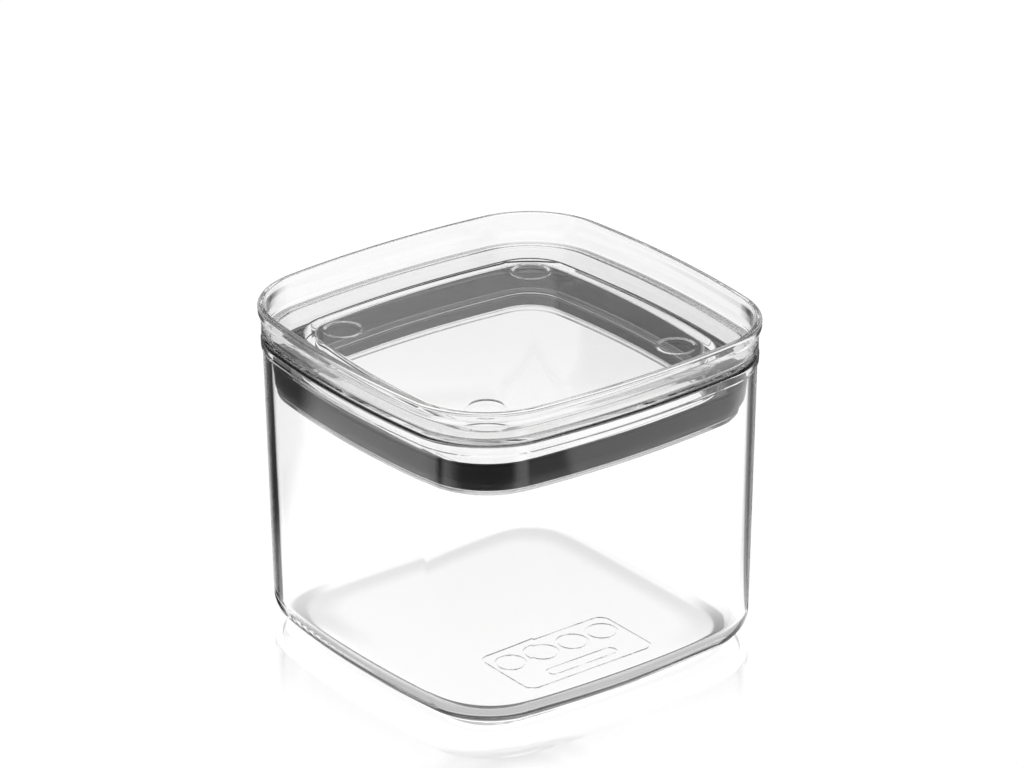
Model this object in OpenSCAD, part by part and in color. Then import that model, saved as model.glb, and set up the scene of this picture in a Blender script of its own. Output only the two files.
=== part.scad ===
// Square storage canister with an inset sealing lid that stacks under another canister.
// Every horizontal section is one bowed, rounded square, grown or shrunk evenly, so each
// moulding is a profile of [half width, height] points carried round that outline.

/* [Outline] */
// Width across the widest point, the lid's rim
width = 108; // [104:1:114]
// Size of the outline's arcs: more gives flatter sides and tighter corners
bow_unit = 0.83; // [0.8:0.01:0.86]

/* [Jar] */
// Height of the jar without its lid
jar_h = 79.2; // [74:0.1:120]
// Wall thickness
jar_wall = 2.2; // [2:0.1:2.4]
// Thickness of the base
base_t = 2.6; // [2:0.1:3]
// How much narrower each side is at the foot than at the mouth
draft = 1.4; // [1:0.1:1.6]
// Radius of the rounded edge round the foot
foot_r = 7.4; // [6:0.1:8]
// Height of the thickened bead round the jar's mouth
bead_h = 2.2; // [1.6:0.1:2.6]

/* [Lid] */
// Height of the stacking collar above the jar
collar_h = 8.9; // [7.8:0.1:12]
// Thickness of the collar wall
collar_wall = 1.3; // [1.1:0.1:1.5]
// Thickness of the top plate
plate_t = 2; // [1.8:0.1:2.2]
// Half width of the plug's outer wall
plug_half = 42.2; // [41.2:0.1:43]
// Wall thickness of the plug
plug_wall = 2.6; // [2:0.1:3]
// Depth of the plug below the jar's rim
plug_depth = 15.1; // [14.5:0.1:18]
// Radius of the four round moulding marks on the top plate
mark_r = 5.2; // [4:0.1:5.4]
// Distance of the round marks from the centre planes
mark_pos = 30; // [28:0.5:30.5]

/* [Seal] */
// Gap left between the seal's lip and the jar wall
seal_gap = 0.3; // [0.2:0.05:0.4]
// Height of the seal's foot, held in the plug's groove
seal_foot_h = 2.7; // [2.5:0.1:3]
// Height of the whole seal
seal_h = 8; // [7:0.1:8.5]

/* [Base panel] */
// Width of the framed panel under the base
panel_w = 40; // [39:1:44]
// Depth of the framed panel, front to back
panel_d = 22; // [20:1:26]

/* [Hidden] */

$fn = 96;
side_fn = 720;
clear = [0.93, 0.96, 0.97, 0.35];
dark = [0.2, 0.2, 0.21];
half_w = width / 2;
play = 0.1;
below = 1;
tall = 200;

// A side arc's centre, a corner arc's centre and the foot of the line between them make the
// right triangle 34-288-290, so that the two arcs meet exactly and share a tangent
leg_short = 34;
leg_long = 288;
leg_slant = 290;
corner_c = leg_short * bow_unit;
arc_shift = (leg_long - leg_short) * bow_unit;
corner_r = half_w - (leg_slant - leg_long + leg_short) * bow_unit;
side_turn = 8;

// Jar
rim_step = 1.1;
bead_step = 0.65;
bead_slope = 0.9;
bead_bow = 0.05;
mouth_relief = 0.2;
edge_r = 0.35;
mouth_half = half_w - rim_step;
bead_half = half_w - bead_step;
foot_half = mouth_half - draft;
mouth_in = mouth_half - jar_wall + mouth_relief;
foot_in = foot_half - jar_wall;
foot_in_r = foot_r - jar_wall;
floor_half = 36;
floor_core = 38.5;
floor_core_r = 11;

// Lid: the collar and its rolled rim
lid_z = jar_h + play;
plate_rise = 0.8;
plate_top = jar_h + plate_rise;
plate_low = plate_top - plate_t;
collar_step = 0.8;
collar_out = half_w - collar_step;
collar_in = collar_out - collar_wall;
collar_top = jar_h + collar_h;
collar_fillet = 1.4;
flare_drop = 5.4;
flare_out = 0.25;
flare_rise = 1.9;
rim_r = 0.8;
rim_in_r = 0.5;
rim_relief = 0.15;
rim_low = 2.2;
rim_ease = 0.08;
rim_in = collar_in + rim_relief;

// Lid: the spigot, the plug and its groove
spigot_gap = 0.6;
spigot_ease = 0.3;
spigot_half = mouth_in - spigot_gap;
plug_in = plug_half - plug_wall;
plug_low = jar_h - plug_depth;
plug_fillet = 0.5;
plug_foot_r = 0.4;
plate_half = 35.6;
plate_core = 37;
plate_core_r = 9;
tip_r = 0.3;
lip_t = 1;
lip_gap = 2.5;
lip_half = mouth_in - lip_gap;
rib_t = 1.2;
rib_reach = 2.6;
rib_half = plug_half + rib_reach;
mark_depth = 0.25;

// Seal: a foot, and an upright lip that thins towards its tip
seal_low = plug_low + lip_t + play;
seal_top = seal_low + seal_h;
wall_slope = (mouth_in - foot_in) / (jar_h - foot_r);
seal_out = mouth_in - (jar_h - seal_top) * wall_slope - seal_gap;
seal_in = plug_half + play;
seal_foot_out = lip_half - tip_r;
seal_foot_top = seal_low + seal_foot_h;
groove_top = seal_foot_top + play;
seal_tip_r = 0.4;
seal_tip_in_r = 0.3;
seal_tip_w = 1.2;

// Base panel
panel_pos = [-1.5, -25];
panel_r = 3;
line_w = 0.6;
line_depth = 0.3;
ring_r = 4.3;
ring_pitch = 9.5;
ring_y = 4;
bar_w = 22;
bar_d = 4;
bar_r = 1.9;
bar_y = -6;

// Points along an arc from angle a0 to angle a1, about [cx, cz], in n steps
function arc(cx, cz, r, a0, a1, n = 3) =
    [for (i = [0:n]) let (a = a0 + (a1 - a0) * i / n) [cx + r * cos(a), cz + r * sin(a)]];

// Points of a profile with x measured from an arc's centre, to the nearest 0.001 mm
function about(profile, centre) =
    [for (p = profile) [(round(1000 * p[0]) - round(1000 * centre)) / 1000, p[1]]];

// A quarter of the outline: one side arc and the corner arc that follows it
module quarter(profile) {
    intersection() {
        translate([-arc_shift, 0])
            rotate_extrude(start = -side_turn, angle = 2 * side_turn, $fn = side_fn)
                polygon(about(profile, -arc_shift));
        translate([-arc_shift, 0, -below])
            linear_extrude(tall)
                polygon([[0, 0], [leg_long, -leg_short], [leg_long, leg_short]]);
    }
    intersection() {
        translate([corner_c, corner_c])
            rotate_extrude(angle = 90)
                polygon(about(profile, half_w - corner_r));
        translate([corner_c, corner_c, -below])
            linear_extrude(tall)
                polygon([
                    [0, 0],
                    [leg_long, leg_short],
                    [leg_long, leg_long],
                    [leg_short, leg_long]
                ]);
    }
}

// Carries a profile of [half width, height] points round the outline
module sweep(profile) {
    for (k = [0:3])
        rotate(90 * k)
            quarter(profile);
}

module rounded_rect(w, d, r) {
    square([w - 2 * r, d], center = true);
    square([w, d - 2 * r], center = true);
    for (x = [-1, 1], y = [-1, 1])
        translate([x * (w / 2 - r), y * (d / 2 - r)])
            circle(r);
}

// The flat middle of a floor or plate, overlapping the swept ring round it
module middle(half, r, low, t) {
    translate([0, 0, low])
        linear_extrude(t)
            rounded_rect(2 * half, 2 * half, r);
}

module outline_bar(w, d, r) {
    difference() {
        rounded_rect(w, d, r);
        rounded_rect(w - 2 * line_w, d - 2 * line_w, r - line_w);
    }
}

// Plain framed panel: a frame, a row of plain rings and an empty bar, with no lettering
module panel_lines() {
    outline_bar(panel_w, panel_d, panel_r);
    for (i = [-1.5:1:1.5])
        translate([i * ring_pitch, ring_y])
            difference() {
                circle(ring_r);
                circle(ring_r - line_w);
            }
    translate([0, bar_y])
        outline_bar(bar_w, bar_d, bar_r);
}

jar_profile = concat(
    [[floor_half, 0]],
    arc(foot_half - foot_r, foot_r, foot_r, -90, 0, 9),
    [[mouth_half, jar_h - bead_h - bead_slope]],
    [[bead_half - bead_bow, jar_h - bead_h]],
    [[bead_half, jar_h - bead_h / 2]],
    arc(bead_half - edge_r - bead_bow, jar_h - edge_r, edge_r, 0, 90),
    arc(mouth_in + edge_r, jar_h - edge_r, edge_r, 90, 180),
    arc(foot_in - foot_in_r, base_t + foot_in_r, foot_in_r, 0, -90, 7),
    [[floor_half, base_t]]
);

module jar() {
    color(clear)
        difference() {
            union() {
                sweep(jar_profile);
                middle(floor_core, floor_core_r, 0, base_t);
            }
            translate([panel_pos[0], panel_pos[1], -below])
                linear_extrude(line_depth + below)
                    panel_lines();
        }
}

plug_profile = concat(
    [[plate_half, plate_low]],
    arc(plug_in - plug_fillet, plate_low - plug_fillet, plug_fillet, 90, 0),
    arc(plug_in + plug_foot_r, plug_low + plug_foot_r, plug_foot_r, 180, 270),
    arc(lip_half - tip_r, plug_low + tip_r, tip_r, -90, 0),
    arc(lip_half - tip_r, plug_low + lip_t - tip_r, tip_r, 0, 90),
    [[plug_half, plug_low + lip_t]],
    [[plug_half, groove_top]],
    arc(rib_half - tip_r, groove_top + tip_r, tip_r, -90, 0),
    arc(rib_half - tip_r, groove_top + rib_t - tip_r, tip_r, 0, 90),
    [[plug_half, groove_top + rib_t]],
    arc(plug_half + plug_fillet, plate_low - plug_fillet, plug_fillet, 180, 90)
);

collar_profile = concat(
    [[spigot_half - spigot_ease, plate_low]],
    [[spigot_half, plate_low + spigot_ease]],
    [[spigot_half, lid_z]],
    arc(collar_out - edge_r, lid_z + edge_r, edge_r, -90, 0),
    [[collar_out, collar_top - flare_drop]],
    [[collar_out + flare_out, collar_top - flare_drop + flare_rise]],
    [[half_w - rim_ease, collar_top - rim_low]],
    arc(half_w - rim_r, collar_top - rim_r, rim_r, 0, 90, 5),
    arc(rim_in + rim_in_r, collar_top - rim_in_r, rim_in_r, 90, 180),
    arc(collar_in - collar_fillet, plate_top + collar_fillet, collar_fillet, 0, -90, 5),
    [[plate_half, plate_top]]
);

module lid() {
    color(clear)
        difference() {
            union() {
                sweep(concat(plug_profile, collar_profile));
                middle(plate_core, plate_core_r, plate_low, plate_t);
            }
            for (x = [-1, 1], y = [-1, 1])
                translate([x * mark_pos, y * mark_pos, plate_top - mark_depth])
                    cylinder(r = mark_r, h = plate_t);
        }
}

// Steps out from the groove, up the lip's outer face, over its tip and down its inner face
seal_profile = concat(
    [[seal_in, seal_low]],
    [[seal_foot_out, seal_low]],
    [[seal_out - 1.5, seal_low + 0.6]],
    [[seal_out - 0.5, seal_low + 0.4 * seal_h]],
    [[seal_out - 0.1, seal_low + 0.7 * seal_h]],
    arc(seal_out - seal_tip_r, seal_top - seal_tip_r, seal_tip_r, 0, 90),
    arc(seal_out - seal_tip_w + seal_tip_in_r, seal_top - seal_tip_in_r, seal_tip_in_r, 90, 150),
    [[seal_out - 3.2, seal_foot_top + 0.8]],
    [[seal_out - 4, seal_foot_top]],
    [[seal_in, seal_foot_top]]
);

module seal() {
    color(dark)
        sweep(seal_profile);
}

jar();
lid();
seal();
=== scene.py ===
"""Square clear canister with an inset sealing lid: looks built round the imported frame."""
import math

import bpy
from mathutils import Matrix, Vector
from mathutils.geometry import delaunay_2d_cdt


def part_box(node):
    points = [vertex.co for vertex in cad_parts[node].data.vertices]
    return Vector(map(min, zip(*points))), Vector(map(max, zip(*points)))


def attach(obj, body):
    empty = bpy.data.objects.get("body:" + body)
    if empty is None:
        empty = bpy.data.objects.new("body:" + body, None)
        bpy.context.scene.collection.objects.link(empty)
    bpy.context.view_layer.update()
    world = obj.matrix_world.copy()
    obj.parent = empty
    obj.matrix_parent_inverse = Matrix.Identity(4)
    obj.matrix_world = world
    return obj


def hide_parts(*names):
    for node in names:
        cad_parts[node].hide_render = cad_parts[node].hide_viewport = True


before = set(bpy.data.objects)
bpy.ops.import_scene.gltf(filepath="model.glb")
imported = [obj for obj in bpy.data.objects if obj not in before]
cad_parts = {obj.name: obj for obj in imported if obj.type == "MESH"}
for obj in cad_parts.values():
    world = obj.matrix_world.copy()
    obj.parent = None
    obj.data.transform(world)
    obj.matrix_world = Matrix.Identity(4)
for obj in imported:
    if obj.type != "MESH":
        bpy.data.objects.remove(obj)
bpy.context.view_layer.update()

MM = 0.001

# ---------------------------------------------------------------- sizes, in mm
jar_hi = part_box("jar")[1] / MM
lid_lo, lid_hi = (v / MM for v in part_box("lid"))
seal_lo, seal_hi = (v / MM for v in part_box("seal"))

# The outline is an arc along each side and an arc round each corner. Before BOW scales them, the centres of
# the two arcs are this far apart, outwards and sideways.
CENTRES_OUT = 288
CENTRES_SIDE = 34
HALF = lid_hi.x
BOW = 0.83
CORNER_C = CENTRES_SIDE * BOW
ARC_SHIFT = (CENTRES_OUT - CENTRES_SIDE) * BOW
CORNER_SHIFT = (math.hypot(CENTRES_OUT, CENTRES_SIDE) - CENTRES_OUT + CENTRES_SIDE) * BOW
TURN = math.atan2(CENTRES_SIDE, CENTRES_OUT)

# how finely things are divided
SIDE_STEPS = 36
CORNER_STEPS = 36
CURVE_STEP = math.radians(5)
CIRCLE_STEPS = 64
RECT_CORNER_STEPS = 10
MARK_RINGS = 20

# small numbers for building meshes
PLACES = 4  # decimals of a vertex's place, so that neighbours share their vertices
TINY_GAP = 1e-6  # points nearer than this are one point
TINY_AREA = 1e-9  # a triangle with less than this for its double area is left out
NUDGE = 0.001  # step each way for measuring a slope
BESIDE = 0.02  # how far beside a line to look for the sunk part

# jar
JAR_TOP = jar_hi.z
BEAD = jar_hi.x
MOUTH = HALF - 1.1
MOUTH_IN = MOUTH - 2.0
WALL = 2.2
FOOT_DRAFT = 1.4
FOOT_R = 7.4
FOOT_IN_R = 5.2
FLOOR_T = 2.6
FLOOR_RING = 40.0  # half width of the flat middle of the floor and of the plate
BEAD_LOW = 3.1
BEAD_LOW_R = 1.2
BEAD_FULL = 2.3
BEAD_R = 0.9
BEAD_LEAN = 0.04
RIM_R = 0.75
RIM_IN_R = 0.35

# panel under the jar's base; sizes are width, depth and corner radius
PANEL = (-1.5, -25.0)
PANEL_SIZE = (40.0, 22.0, 3.0)
BAR_DROP = 6.0
BAR_SIZE = (22.0, 4.0, 1.9)
PANEL_RING_R = 4.3
PANEL_RING_RISE = 4.0
PANEL_RING_PITCH = 9.5
LINE_W = 0.6
LINE_DEEP = 0.3

# lid
PLATE_TOP = JAR_TOP + 0.8
PLATE_LOW = PLATE_TOP - 2.0
PLUG_RING = 38.6  # half width of the flat middle under the plate
PLUG_OUT = 42.2
PLUG_IN = PLUG_OUT - 2.6
LIP_REACH = MOUTH_IN - 2.5
LIP_T = 1.0
LIP_IN_R = 0.4
GROOVE_TALL = 2.9
RIB_REACH = PLUG_OUT + 2.6
RIB_T = 1.2
SPIGOT = MOUTH_IN - 0.6
SPIGOT_R = 0.6
SEAT_GAP = 0.1
EDGE_R = 0.3  # edges of the plug's lip and rib
TIGHT_R = 0.12  # corners in the groove and at the seat
FILLET_R = 0.5  # where the plug meets the plate, and at the collar's inner edge
COLLAR_OUT = HALF - 0.8
COLLAR_IN = COLLAR_OUT - 1.3
COLLAR_EDGE_R = 0.8
COLLAR_IN_R = 1.4
LEAD_IN = 0.15
LEAD_IN_R = 3.0
# the collar's outward flare: distance below the rim, distance out and radius
FLARE = ((5.4, 0.0, 3.0), (3.5, 0.25, 4.0))
FLARE_TOP = 2.0
RIM_LEAN = 0.04

# round marks on the plate: a low rib round a shallow dish
MARK_POS = 30.0
MARK_R = 5.2
MARK_DEPTH = 0.1
MARK_RIB_HALF = 0.3
MARK_RIB_TALL = 0.04
MARK_OUT = MARK_R + MARK_RIB_HALF
DISH_SLOPE = 0.6
DISH_R = MARK_R - MARK_RIB_HALF - DISH_SLOPE

# seal; bend, throat and neck are given as distances in from the lip's edge and up from the bottom
SEAL_START = 1.0
SEAL_FOOT_TALL = 2.7
SEAL_GRIP = 0.1
SEAL_FOOT_R = 0.15
SEAL_HEEL_R = 1.0
SEAL_BEND = (0.55, 3.0)
SEAL_BEND_R = 6.0
SEAL_LIP_T = 1.2
SEAL_EDGE_R = 0.4
SEAL_THROAT = (3.2, 3.5)
SEAL_THROAT_R = 1.5
SEAL_NECK = (4.0, SEAL_FOOT_TALL)
SEAL_NECK_R = 0.6


# ---------------------------------------------------------------- mesh building
def outline_frame():
    """Arc centre, unit direction and arc shift of each step round the outline."""
    steps = []
    for k in range(4):
        turn = k * math.pi / 2
        for i in range(SIDE_STEPS):
            t = -TURN + 2 * TURN * i / SIDE_STEPS
            steps.append((turn, t, (-ARC_SHIFT, 0.0), ARC_SHIFT))
        for i in range(CORNER_STEPS):
            t = TURN + (math.pi / 2 - 2 * TURN) * i / CORNER_STEPS
            steps.append((turn, t, (CORNER_C, CORNER_C), -CORNER_SHIFT))
    out = []
    for turn, t, centre, shift in steps:
        c, s = math.cos(turn), math.sin(turn)
        d = (math.cos(t), math.sin(t))
        out.append((
            (c * centre[0] - s * centre[1], s * centre[0] + c * centre[1]),
            (c * d[0] - s * d[1], s * d[0] + c * d[1]),
            shift,
        ))
    return out


RING = outline_frame()


def ring_at(a):
    """The outline at half width a."""
    return [(c[0] + d[0] * (a + s), c[1] + d[1] * (a + s)) for c, d, s in RING]


def rounded(corners):
    """Points (a, z, normal a, normal z) along corners (a, z, radius), with the solid on the left."""
    out = []
    last = len(corners) - 1
    for i, (a, z, r) in enumerate(corners):
        p = Vector((a, z))
        if i in (0, last):
            other = corners[1] if i == 0 else corners[last - 1]
            d = (Vector(other[:2]) - p).normalized() * (1 if i == 0 else -1)
            out.append((a, z, d.y, -d.x))
            continue
        u = (p - Vector(corners[i - 1][:2])).normalized()
        v = (Vector(corners[i + 1][:2]) - p).normalized()
        cross = u.x * v.y - u.y * v.x
        angle = math.atan2(cross, u.dot(v))
        side = 1 if angle > 0 else -1
        trim = r * math.tan(abs(angle) / 2)
        start = p - u * trim
        centre = start + Vector((-u.y, u.x)) * r * side
        steps = max(3, round(abs(angle) / CURVE_STEP))
        for k in range(steps + 1):
            t = angle * k / steps
            n = Vector((u.y, -u.x))
            n = Vector((n.x * math.cos(t) - n.y * math.sin(t), n.x * math.sin(t) + n.y * math.cos(t)))
            q = centre + n * r * side
            out.append((q.x, q.y, n.x, n.y))
    return out


class Shell:
    """A closed mesh with its own corner normals, with vertices shared by place."""

    def __init__(self):
        self.verts, self.index, self.faces, self.normals = [], {}, [], []

    def vert(self, x, y, z):
        key = tuple(round(v, PLACES) for v in (x, y, z))
        if key not in self.index:
            self.index[key] = len(self.verts)
            self.verts.append(tuple(v * MM for v in key))
        return self.index[key]

    def face(self, corners):
        """corners: (x, y, z, normal) in order, seen from outside anticlockwise."""
        ids = [self.vert(*c[:3]) for c in corners]
        keep = [k for k in range(len(ids)) if ids[k] != ids[k - 1]]
        if len(keep) < 3:
            return
        self.faces.append([ids[k] for k in keep])
        self.normals.extend(corners[k][3] for k in keep)

    def sweep(self, chain):
        """Carries a section's chain of points round the outline."""
        rings = []
        for a, z, na, nz in chain:
            rings.append([
                (c[0] + d[0] * (a + s), c[1] + d[1] * (a + s), z, (d[0] * na, d[1] * na, nz))
                for c, d, s in RING
            ])
        n = len(RING)
        for low, high in zip(rings, rings[1:]):
            for i in range(n):
                j = (i + 1) % n
                self.face([low[i], low[j], high[j], high[i]])

    def flat(self, a, z, up, loops=(), inside=None, step=0.0, skip=None):
        """The flat middle out to half width a, facing up or down.

        Where inside(x, y) is true it is sunk by step, with upright walls along the loops. With skip
        there are no walls, and the middle is left open where skip(x, y) is true."""
        points, edges = [], []
        for loop in [ring_at(a), *loops]:
            base = len(points)
            points += [Vector([round(v, PLACES) for v in p]) for p in loop]
            edges += [(base + i, base + (i + 1) % len(loop)) for i in range(len(loop))]
        vs, _, tris, _, _, _ = delaunay_2d_cdt(points, edges, [], 0, TINY_GAP)
        normal = (0, 0, 1 if up else -1)
        sunk_z = z - step if up else z + step
        for tri in tris:
            p = [vs[k] for k in tri]
            mid = sum(p, Vector((0, 0))) / 3
            double_area = (p[1] - p[0]).cross(p[2] - p[0])
            if abs(double_area) < TINY_AREA or skip and skip(mid.x, mid.y):
                continue
            if (double_area > 0) != up:
                p.reverse()
            h = sunk_z if inside and inside(mid.x, mid.y) else z
            self.face([(q.x, q.y, h, normal) for q in p])
        for loop in () if skip else loops:
            for p, q in zip(loop, loop[1:] + loop[:1]):
                self.upright(Vector(p), Vector(q), z, sunk_z, inside)

    def upright(self, p, q, z, sunk_z, inside):
        """One upright wall from p to q, between a flat and its sunk part and facing the sunk part."""
        out = Vector((q.y - p.y, p.x - q.x)).normalized()
        sunk_out = inside((p.x + q.x) / 2 + out.x * BESIDE, (p.y + q.y) / 2 + out.y * BESIDE)
        nrm = (out.x, out.y, 0) if sunk_out else (-out.x, -out.y, 0)
        quad = [(p.x, p.y, z, nrm), (q.x, q.y, z, nrm), (q.x, q.y, sunk_z, nrm), (p.x, p.y, sunk_z, nrm)]
        corner, along, down = (Vector(quad[k][:3]) for k in (0, 1, 3))
        if (along - corner).cross(down - corner).dot(Vector(nrm)) < 0:
            quad.reverse()
        self.face(quad)

    def round_step(self, cx, cy, z, radii, height):
        """Rings of faces round (cx, cy) between the radii, at z + height(r)."""
        rings = []
        for r in radii:
            slope = (height(r + NUDGE) - height(r - NUDGE)) / (2 * NUDGE)
            long = math.hypot(1, slope)
            h = z + height(r)
            rings.append([
                (x, y, h, (-slope * (x - cx) / r / long, -slope * (y - cy) / r / long, 1 / long))
                for x, y in circle(cx, cy, r)
            ])
        for small, big in zip(rings, rings[1:]):
            for i in range(len(small)):
                j = (i + 1) % len(small)
                self.face([small[i], big[i], big[j], small[j]])

    def make(self, name, body, material, replaces):
        mesh = bpy.data.meshes.new(name)
        mesh.from_pydata(self.verts, [], self.faces)
        mesh.polygons.foreach_set("use_smooth", [True] * len(mesh.polygons))
        mesh.normals_split_custom_set(self.normals)
        mesh.materials.append(material)
        obj = bpy.data.objects.new(name, mesh)
        bpy.context.scene.collection.objects.link(obj)
        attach(obj, body)
        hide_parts(replaces)


def circle(x, y, r, n=CIRCLE_STEPS):
    return [(x + r * math.cos(2 * math.pi * i / n), y + r * math.sin(2 * math.pi * i / n)) for i in range(n)]


def rounded_rect(cx, cy, w, d, r, n=RECT_CORNER_STEPS):
    out = []
    for k, (sx, sy) in enumerate(((1, 1), (-1, 1), (-1, -1), (1, -1))):
        for i in range(n + 1):
            t = math.pi / 2 * (k + i / n)
            out.append((cx + sx * (w / 2 - r) + r * math.cos(t), cy + sy * (d / 2 - r) + r * math.sin(t)))
    return out


def in_rect(x, y, cx, cy, w, d, r):
    qx, qy = abs(x - cx) - w / 2 + r, abs(y - cy) - d / 2 + r
    return math.hypot(max(qx, 0), max(qy, 0)) + min(max(qx, qy), 0) < r


# ---------------------------------------------------------------- materials
CLEAR_TINT = (0.994, 0.994, 0.993, 1)
CLEAR_IOR = 1.52
SILICONE_BASE = (0.005, 0.005, 0.0055, 1)
SILICONE_ROUGHNESS = 0.2
SILICONE_IOR = 1.3
SILICONE_SPECULAR = 0.25
# unevenness: the noise's scale and detail, and its height in metres
CLEAR_WAVES = (28.0, 2.0, 0.00003)
SILICONE_WAVES = (120.0, 1.0, 0.0000006)


def new_material(name):
    mat = bpy.data.materials.new(name)
    mat.use_nodes = True
    nodes = mat.node_tree.nodes
    return mat, nodes, mat.node_tree.links, nodes["Principled BSDF"]


def wavy(nodes, links, shader, scale, detail, height):
    """A faint procedural unevenness in the surface."""
    place = nodes.new("ShaderNodeTexCoord")
    noise = nodes.new("ShaderNodeTexNoise")
    noise.inputs["Scale"].default_value = scale
    noise.inputs["Detail"].default_value = detail
    bump = nodes.new("ShaderNodeBump")
    bump.inputs["Strength"].default_value = 1.0
    bump.inputs["Distance"].default_value = height
    links.new(place.outputs["Object"], noise.inputs["Vector"])
    links.new(noise.outputs["Fac"], bump.inputs["Height"])
    links.new(bump.outputs["Normal"], shader.inputs["Normal"])


def clear_plastic(name):
    mat, nodes, links, shader = new_material(name)
    shader.inputs["Base Color"].default_value = CLEAR_TINT
    shader.inputs["Roughness"].default_value = 0.0
    shader.inputs["IOR"].default_value = CLEAR_IOR
    shader.inputs["Transmission Weight"].default_value = 1.0
    wavy(nodes, links, shader, *CLEAR_WAVES)
    return mat


def silicone(name):
    mat, nodes, links, shader = new_material(name)
    shader.inputs["Base Color"].default_value = SILICONE_BASE
    shader.inputs["Roughness"].default_value = SILICONE_ROUGHNESS
    shader.inputs["IOR"].default_value = SILICONE_IOR
    shader.inputs["Specular IOR Level"].default_value = SILICONE_SPECULAR
    wavy(nodes, links, shader, *SILICONE_WAVES)
    return mat


# ---------------------------------------------------------------- jar
panel_rects = [(*PANEL, *PANEL_SIZE), (PANEL[0], PANEL[1] - BAR_DROP, *BAR_SIZE)]
panel_rings = [
    (PANEL[0] + k * PANEL_RING_PITCH, PANEL[1] + PANEL_RING_RISE, PANEL_RING_R)
    for k in (-1.5, -0.5, 0.5, 1.5)
]


def narrower(rect):
    cx, cy, w, d, r = rect
    return cx, cy, w - 2 * LINE_W, d - 2 * LINE_W, r - LINE_W


def in_panel_line(x, y):
    for rect in panel_rects:
        if in_rect(x, y, *rect) and not in_rect(x, y, *narrower(rect)):
            return True
    return any(r - LINE_W < math.hypot(x - cx, y - cy) < r for cx, cy, r in panel_rings)


def panel_loops():
    """Both edges of every sunk line of the panel."""
    loops = []
    for rect in panel_rects:
        loops += [rounded_rect(*rect), rounded_rect(*narrower(rect))]
    for cx, cy, r in panel_rings:
        loops += [circle(cx, cy, r), circle(cx, cy, r - LINE_W)]
    return loops


def jar_section():
    """From under the floor up the outside, over the rim and down the inside."""
    wall_lean = FOOT_DRAFT / (JAR_TOP - BEAD_LOW - FOOT_R)
    in_lean = (MOUTH_IN - MOUTH + FOOT_DRAFT + WALL) / (JAR_TOP - RIM_IN_R - FLOOR_T - FOOT_IN_R)
    foot_half = MOUTH - FOOT_DRAFT - FOOT_R * wall_lean
    foot_in = MOUTH - FOOT_DRAFT - WALL - FOOT_IN_R * in_lean
    return rounded([
        (FLOOR_RING, 0, 0),
        (foot_half, 0, FOOT_R),
        (MOUTH, JAR_TOP - BEAD_LOW, BEAD_LOW_R),
        (BEAD - BEAD_LEAN, JAR_TOP - BEAD_FULL, BEAD_R),
        (BEAD, JAR_TOP, RIM_R),
        (MOUTH_IN, JAR_TOP, RIM_IN_R),
        (foot_in, FLOOR_T, FOOT_IN_R),
        (FLOOR_RING, FLOOR_T, 0),
    ])


def make_jar():
    shell = Shell()
    shell.sweep(jar_section())
    shell.flat(FLOOR_RING, 0, False, panel_loops(), in_panel_line, LINE_DEEP)
    shell.flat(FLOOR_RING, FLOOR_T, True)
    shell.make("jar_body", "jar", clear_plastic("clear_jar_plastic"), "jar")


# ---------------------------------------------------------------- lid
marks = [(sx * MARK_POS, sy * MARK_POS) for sx in (-1, 1) for sy in (-1, 1)]


def mark_height(r):
    """Height of the plate at distance r from a mark's centre."""
    rib = max(0.0, 1 - abs(r - MARK_R) / MARK_RIB_HALF)
    dish = min(1.0, max(0.0, (MARK_R - MARK_RIB_HALF - r) / DISH_SLOPE))
    rise = MARK_RIB_TALL * (1 - math.cos(math.pi * rib)) / 2
    return rise - MARK_DEPTH * (1 - math.cos(math.pi * dish)) / 2


def in_mark(x, y):
    return any(math.hypot(x - cx, y - cy) < DISH_R for cx, cy in marks)


def in_mark_ring(x, y):
    return any(DISH_R < math.hypot(x - cx, y - cy) < MARK_OUT for cx, cy in marks)


def lid_section():
    """From under the plate down round the plug and its groove, then out to the collar, over it and back."""
    lip_low = lid_lo.z
    groove_low = lip_low + LIP_T
    groove_top = groove_low + GROOVE_TALL
    seat = JAR_TOP + SEAT_GAP
    top = lid_hi.z
    return rounded([
        (PLUG_RING, PLATE_LOW, 0),
        (PLUG_IN, PLATE_LOW, FILLET_R),
        (PLUG_IN, lip_low, LIP_IN_R),
        (LIP_REACH, lip_low, EDGE_R),
        (LIP_REACH, groove_low, EDGE_R),
        (PLUG_OUT, groove_low, TIGHT_R),
        (PLUG_OUT, groove_top, TIGHT_R),
        (RIB_REACH, groove_top, EDGE_R),
        (RIB_REACH, groove_top + RIB_T, EDGE_R),
        (PLUG_OUT, groove_top + RIB_T, TIGHT_R),
        (PLUG_OUT, PLATE_LOW, FILLET_R),
        (SPIGOT, PLATE_LOW, SPIGOT_R),
        (SPIGOT, seat, TIGHT_R),
        (COLLAR_OUT, seat, COLLAR_EDGE_R),
        *((COLLAR_OUT + out, top - below, r) for below, out, r in FLARE),
        (HALF - RIM_LEAN, top - FLARE_TOP, FLARE_TOP),
        (HALF, top, COLLAR_EDGE_R),
        (COLLAR_IN + LEAD_IN, top, FILLET_R),
        (COLLAR_IN, top - COLLAR_IN_R, LEAD_IN_R),
        (COLLAR_IN, PLATE_TOP, COLLAR_IN_R),
        (FLOOR_RING, PLATE_TOP, 0),
    ])


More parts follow.
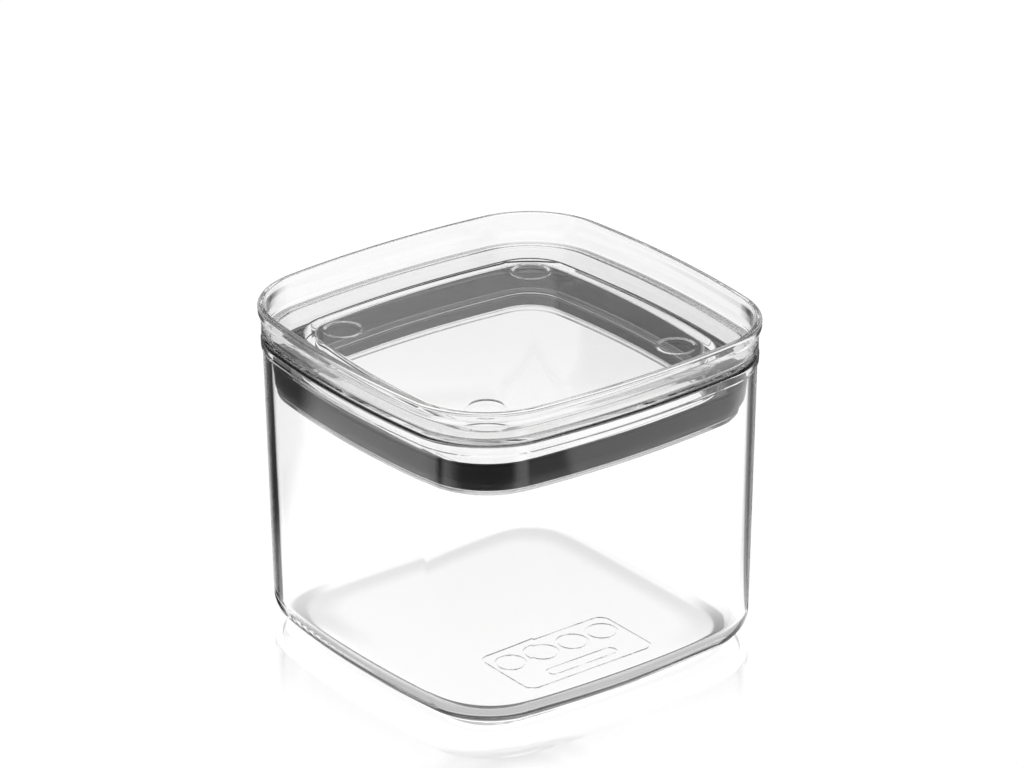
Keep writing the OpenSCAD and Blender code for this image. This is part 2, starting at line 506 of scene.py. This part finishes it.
def make_lid():
    shell = Shell()
    shell.sweep(lid_section())
    shell.flat(PLUG_RING, PLATE_LOW, False)
    loops = [circle(x, y, r) for x, y in marks for r in (DISH_R, MARK_OUT)]
    shell.flat(FLOOR_RING, PLATE_TOP, True, loops, in_mark, MARK_DEPTH, in_mark_ring)
    radii = [DISH_R + (MARK_OUT - DISH_R) * i / MARK_RINGS for i in range(MARK_RINGS + 1)]
    for x, y in marks:
        shell.round_step(x, y, PLATE_TOP, radii, mark_height)
    shell.make("lid_moulding", "lid", clear_plastic("clear_lid_plastic"), "lid")


# ---------------------------------------------------------------- seal
def seal_section():
    """From under the foot out and up the lip's outside, then back down to the foot, closed."""
    low, high, edge = seal_lo.z, seal_hi.z, seal_hi.x
    foot_in = PLUG_OUT + SEAL_GRIP
    return rounded([
        (PLUG_OUT + SEAL_START, low, 0),
        (LIP_REACH, low, SEAL_HEEL_R),
        (edge - SEAL_BEND[0], low + SEAL_BEND[1], SEAL_BEND_R),
        (edge, high, SEAL_EDGE_R),
        (edge - SEAL_LIP_T, high, EDGE_R),
        (edge - SEAL_THROAT[0], low + SEAL_THROAT[1], SEAL_THROAT_R),
        (edge - SEAL_NECK[0], low + SEAL_NECK[1], SEAL_NECK_R),
        (foot_in, low + SEAL_FOOT_TALL, SEAL_FOOT_R),
        (foot_in, low, SEAL_FOOT_R),
        (PLUG_OUT + SEAL_START, low, 0),
    ])


def make_seal():
    shell = Shell()
    shell.sweep(seal_section())
    shell.make("lid_seal", "lid", silicone("dark_silicone"), "seal")


make_jar()
make_lid()
make_seal()

# ---------------------------------------------------------------- camera
CAMERA_AZIMUTH = math.radians(-37.313)
CAMERA_TILT = math.radians(24.612)
CAMERA_ROLL = math.radians(-0.292)
CAMERA_DISTANCE = 1.43099
LENS = 198.5
SENSOR = 36
SHIFT = (0.0026, -0.0018)
AIM = Vector((0, 0, 0.06764))
# level directions towards the camera and to its right, by which the stage is laid out
TO_CAMERA = (math.sin(CAMERA_AZIMUTH), -math.cos(CAMERA_AZIMUTH), 0)
TO_RIGHT = (math.cos(CAMERA_AZIMUTH), math.sin(CAMERA_AZIMUTH), 0)


def make_camera():
    level = math.cos(CAMERA_TILT)
    back = Vector((TO_CAMERA[0] * level, TO_CAMERA[1] * level, math.sin(CAMERA_TILT)))
    right = Vector(TO_RIGHT)
    up = back.cross(right)
    c, s = math.cos(CAMERA_ROLL), math.sin(CAMERA_ROLL)
    right, up = c * right + s * up, c * up - s * right
    data = bpy.data.cameras.new("camera")
    data.sensor_width = SENSOR
    data.lens = LENS
    data.shift_x, data.shift_y = SHIFT
    cam = bpy.data.objects.new("camera", data)
    bpy.context.scene.collection.objects.link(cam)
    cam.matrix_world = Matrix((
        (right.x, up.x, back.x, 0),
        (right.y, up.y, back.y, 0),
        (right.z, up.z, back.z, 0),
        (0, 0, 0, 1),
    ))
    cam.location = AIM + back * CAMERA_DISTANCE
    bpy.context.scene.camera = cam


make_camera()

# ---------------------------------------------------------------- stage
# The sky: strengths, and the direction cosines between which they change.
BACK_SKY = 0.5
FRONT_SKY = 0.2
SIDE_SKY = 0.4
TOP_SKY = 0.9
LOW_SKY = 0.95
TO_FRONT = (-0.1, 0.6)
TO_SIDE = (0.3, 0.75)
TO_TOP = (0.5, 0.85)
FROM_LOW = (0.2, 0.34)

# The floor as the camera sees it. Reaches are shares of the lid's half width, here and below.
FLOOR_HALF = 4.0
FLOOR_DROP = 0.0002
PLAIN_LIGHT = 1.03
MIRROR = 0.95
MIRROR_REACH = (0.95, 1.4)
MIRROR_ROUGHNESS = 0.06

# The light pool that all other light sees is painted light: a glow painted on the floor, with zones of
# painted shade. Arcs are in degrees, round the canister's middle or, for the painted dark flags, round a
# point FLAG_EDGE to each side of it, and other limits are in metres. A zone's light is the share of the
# pool's light that is left in it.
POOL_LIGHT = 1.115
FLAG_EDGE = 0.062
FLAG_ARC = (6, 16, 42, 54)
FLAG_LIGHT = 0.08
NEAR_RING = (0.25, 0.28)
GAP_START = (0.162, 0.172)
FRONT_START = (0.176, 0.186)
FRONT_ARC = (-50, -26, 20, 32)
FRONT_LIGHT = 0.08
LEFT_GAP_ARC = (-54.5, -53, -47.5, -46)
LEFT_GAP_LIGHT = 0.17
RIGHT_GAP_ARC = (38, 39.5, 51, 54)
RIGHT_GAP_LIGHT = 0.3
LEFT_BACK_START = (0.08, 0.12)
LEFT_BACK_ARC = (-132, -124, -106, -100)
FAR_LEFT = (-0.235, -0.165)
LEFT_LIGHT = 0.15
LEFT_SIDE_START = (0.1, 0.12)
LEFT_SIDE = (-0.15, -0.1)
LEFT_SIDE_LIGHT = 0.87
RIGHT_SIDE = (0.08, 0.1)
RIGHT_LIGHT = 0.9
BEYOND = (-0.19, -0.11)
BEYOND_LIGHT = 0.9

# Painted shadow in the pool under and round the canister's foot, in bands along rounded squares of these
# powers.
FOOT_POWER = 4.5
FLOOR_POWER = 7.0
FAR_SIDE = (0.0, 0.02)
FAR_FOOT = (0.6, 0.72, 0.735, 0.77)
FAR_FOOT_LIGHT = 0.8
FOOT_ENDS = (0.73, 0.77, 0.8, 0.84)
FOOT_ENDS_FROM = (0.044, 0.053)
FOOT_END_LIGHT = 0.55
NEAR_SIDE = (-0.01, 0.015)
NEAR_LINE = (0.785, 0.8, 0.84, 0.86)
NEAR_LINE_LIGHT = 0.05
NEAR_FOOT = (0.84, 0.87, 0.93, 1.0)
NEAR_FOOT_LIGHT = 0.5
UNDER = (0.73, 0.77)
UNDER_FADE = (-0.05, 0.05)
UNDER_NEAR = 0.4
UNDER_LIGHT = 0.93


class Maths:
    """Short names for building value nodes in one tree."""

    def __init__(self, tree):
        self.nodes, self.links = tree.nodes, tree.links

    def put(self, socket, value):
        if hasattr(value, "is_output"):
            self.links.new(value, socket)
        else:
            socket.default_value = value

    def op(self, kind, *values):
        node = self.nodes.new("ShaderNodeMath")
        node.operation = kind
        for socket, value in zip(node.inputs, values):
            self.put(socket, value)
        return node.outputs[0]

    def times(self, first, second):
        return self.op("MULTIPLY", first, second)

    def step(self, value, low, high, at_low=0.0, at_high=1.0):
        """A smooth change from at_low to at_high as value goes from low to high."""
        node = self.nodes.new("ShaderNodeMapRange")
        node.interpolation_type = "SMOOTHSTEP"
        self.links.new(value, node.inputs["Value"])
        for name, number in (("From Min", low), ("From Max", high), ("To Min", at_low), ("To Max", at_high)):
            node.inputs[name].default_value = number
        return node.outputs["Result"]

    def below(self, value, low, high):
        """1 up to low, falling to 0 at high."""
        return self.step(value, low, high, 1.0, 0.0)

    def band(self, value, a, b, c, d):
        """Rises from 0 at a to 1 at b, stays, and falls from 1 at c to 0 at d."""
        return self.times(self.step(value, a, b), self.below(value, c, d))

    def arc(self, angle, a, b, c, d):
        """A band with its limits in degrees."""
        return self.band(angle, *(math.radians(k) for k in (a, b, c, d)))

    def dot(self, vector, direction):
        node = self.nodes.new("ShaderNodeVectorMath")
        node.operation = "DOT_PRODUCT"
        self.links.new(vector, node.inputs[0])
        node.inputs[1].default_value = direction
        return node.outputs["Value"]

    def reach(self, place, power):
        """Distance from the centre as a share of the lid's half width, along a rounded square."""
        axes = [
            self.op("POWER", self.op("ABSOLUTE", self.op("DIVIDE", self.dot(place, axis), HALF * MM)), power)
            for axis in ((1, 0, 0), (0, 1, 0))
        ]
        return self.op("POWER", self.op("ADD", *axes), 1 / power)


def painted_pool_light(m, place, foot_reach):
    """The painted pool's strength: bright, with painted dark flags behind the sides and dark or dimmer zones
    of painted shade all round.
    """
    u = m.dot(place, TO_RIGHT)
    v = m.dot(place, TO_CAMERA)
    side = m.op("ABSOLUTE", u)
    facing = m.op("ARCTAN2", u, v)
    radius = m.op("SQRT", m.op("ADD", m.times(u, u), m.times(v, v)))
    # The painted dark flags show only to light that was reflected or ran along inside one wall, and the
    # painted zones in the near ring only to reflected light, so they come back as dark reflections in the
    # plastic. So what is seen straight through both walls is pale.
    light_path = m.nodes.new("ShaderNodeLightPath").outputs
    reflected = m.step(light_path["Glossy Depth"], 0.0, 1.0)
    along_wall = m.below(light_path["Transmission Depth"], 2.0, 3.0)
    outward = m.op("ARCTAN2", m.op("SUBTRACT", side, FLAG_EDGE), m.times(v, -1.0))
    painted_flag_shade = m.times(m.arc(outward, *FLAG_ARC), m.op("MAXIMUM", reflected, along_wall))
    near_ring = m.times(m.below(radius, *NEAR_RING), reflected)

    def ringed(shade, start):
        """A painted shade that begins between two distances from the middle and ends with the near ring."""
        return m.times(shade, m.times(m.step(radius, *start), near_ring))

    square_reach = m.reach(place, FLOOR_POWER)
    far = m.below(v, *FAR_SIDE)
    near = m.step(v, *NEAR_SIDE)
    far_ends = m.times(m.step(side, *FOOT_ENDS_FROM), far)
    # Each entry is painted shade on the pool: a mask and the share of light left in it.
    shades = (
        (painted_flag_shade, FLAG_LIGHT),
        (ringed(m.arc(facing, *FRONT_ARC), FRONT_START), FRONT_LIGHT),
        (ringed(m.arc(facing, *LEFT_GAP_ARC), GAP_START), LEFT_GAP_LIGHT),
        (ringed(m.arc(facing, *RIGHT_GAP_ARC), GAP_START), RIGHT_GAP_LIGHT),
        (ringed(m.below(u, *FAR_LEFT), GAP_START), LEFT_LIGHT),
        (ringed(m.arc(facing, *LEFT_BACK_ARC), LEFT_BACK_START), LEFT_LIGHT),
        (ringed(m.below(u, *LEFT_SIDE), LEFT_SIDE_START), LEFT_SIDE_LIGHT),
        (m.step(u, *RIGHT_SIDE), RIGHT_LIGHT),
        (m.below(v, *BEYOND), BEYOND_LIGHT),
        # Painted contact shadow round the foot: an arc at the far side, darker ends at the far corners, a
        # dark line and a grey band along the near side, and dimming under the canister.
        (m.times(m.band(square_reach, *FAR_FOOT), far), FAR_FOOT_LIGHT),
        (m.times(m.band(square_reach, *FOOT_ENDS), far_ends), FOOT_END_LIGHT),
        (m.times(m.band(foot_reach, *NEAR_LINE), near), NEAR_LINE_LIGHT),
        (m.times(m.band(foot_reach, *NEAR_FOOT), near), NEAR_FOOT_LIGHT),
        (m.times(m.below(square_reach, *UNDER), m.step(v, *UNDER_FADE, 1.0, UNDER_NEAR)), UNDER_LIGHT),
    )
    pool = 1.0
    for shade, least in shades:
        pool = m.times(pool, m.op("SUBTRACT", 1.0, m.times(shade, 1 - least)))
    return m.times(pool, POOL_LIGHT)


def floor_material():
    """The camera sees plain white with a fading mirror round the foot; all other light sees the painted pool
    of light and shade.
    """
    mat = bpy.data.materials.new("pale_floor_painted_pool")
    mat.use_nodes = True
    tree = mat.node_tree
    tree.nodes.clear()
    m = Maths(tree)
    place = tree.nodes.new("ShaderNodeTexCoord").outputs["Object"]
    foot_reach = m.reach(place, FOOT_POWER)
    # Painted light: the pool's light and shade as a glow, seen by every ray but the camera's.
    painted_pool_glow = tree.nodes.new("ShaderNodeEmission")
    m.put(painted_pool_glow.inputs["Strength"], painted_pool_light(m, place, foot_reach))
    plain = tree.nodes.new("ShaderNodeEmission")
    mirror = m.step(foot_reach, *MIRROR_REACH, MIRROR, 0.0)
    m.put(plain.inputs["Strength"], m.op("SUBTRACT", PLAIN_LIGHT, m.times(mirror, BACK_SKY)))
    gloss = tree.nodes.new("ShaderNodeBsdfGlossy")
    m.put(gloss.inputs["Color"], mirror)
    gloss.inputs["Roughness"].default_value = MIRROR_ROUGHNESS
    both = tree.nodes.new("ShaderNodeAddShader")
    tree.links.new(plain.outputs[0], both.inputs[0])
    tree.links.new(gloss.outputs[0], both.inputs[1])
    pick = tree.nodes.new("ShaderNodeMixShader")
    tree.links.new(tree.nodes.new("ShaderNodeLightPath").outputs["Is Camera Ray"], pick.inputs[0])
    tree.links.new(painted_pool_glow.outputs[0], pick.inputs[1])
    tree.links.new(both.outputs[0], pick.inputs[2])
    tree.links.new(pick.outputs[0], tree.nodes.new("ShaderNodeOutputMaterial").inputs["Surface"])
    return mat


def make_floor():
    r = FLOOR_HALF
    mesh = bpy.data.meshes.new("floor")
    mesh.from_pydata([(-r, -r, 0), (r, -r, 0), (r, r, 0), (-r, r, 0)], [], [(0, 1, 2, 3)])
    mesh.materials.append(floor_material())
    floor = bpy.data.objects.new("floor", mesh)
    bpy.context.scene.collection.objects.link(floor)
    floor.location.z = -FLOOR_DROP


def make_world():
    """White to the camera. Other light finds a pale sky, dimmer at the sides and in front and bright
    overhead, and bright low down too except in front."""
    world = bpy.data.worlds.new("studio")
    bpy.context.scene.world = world
    world.use_nodes = True
    w = Maths(world.node_tree)
    sky = w.nodes.new("ShaderNodeTexCoord").outputs["Generated"]
    forward = w.dot(sky, TO_CAMERA)
    height = w.dot(sky, (0, 0, 1))
    behind = w.step(forward, *TO_FRONT, BACK_SKY, FRONT_SKY)
    aside = w.step(w.op("ABSOLUTE", w.dot(sky, TO_RIGHT)), *TO_SIDE, 1.0, SIDE_SKY)
    above = w.step(height, *TO_TOP, 0.0, TOP_SKY)
    low = w.times(w.step(height, *FROM_LOW, LOW_SKY, 0.0), w.step(forward, *TO_FRONT, 1.0, FRONT_SKY))
    light = w.op("MAXIMUM", w.op("MAXIMUM", w.times(behind, aside), above), low)
    light = w.op("MAXIMUM", light, w.nodes.new("ShaderNodeLightPath").outputs["Is Camera Ray"])
    w.put(w.nodes["Background"].inputs["Strength"], light)
    w.nodes["Background"].inputs["Color"].default_value = (1, 1, 1, 1)


make_floor()
make_world()

# light in clear plastic is reflected inside it many times before it comes out
LIGHT_BOUNCES = 32
light_paths = bpy.context.scene.cycles
light_paths.max_bounces = LIGHT_BOUNCES
light_paths.glossy_bounces = LIGHT_BOUNCES
light_paths.transmission_bounces = LIGHT_BOUNCES

bpy.context.scene.view_settings.view_transform = "Standard"
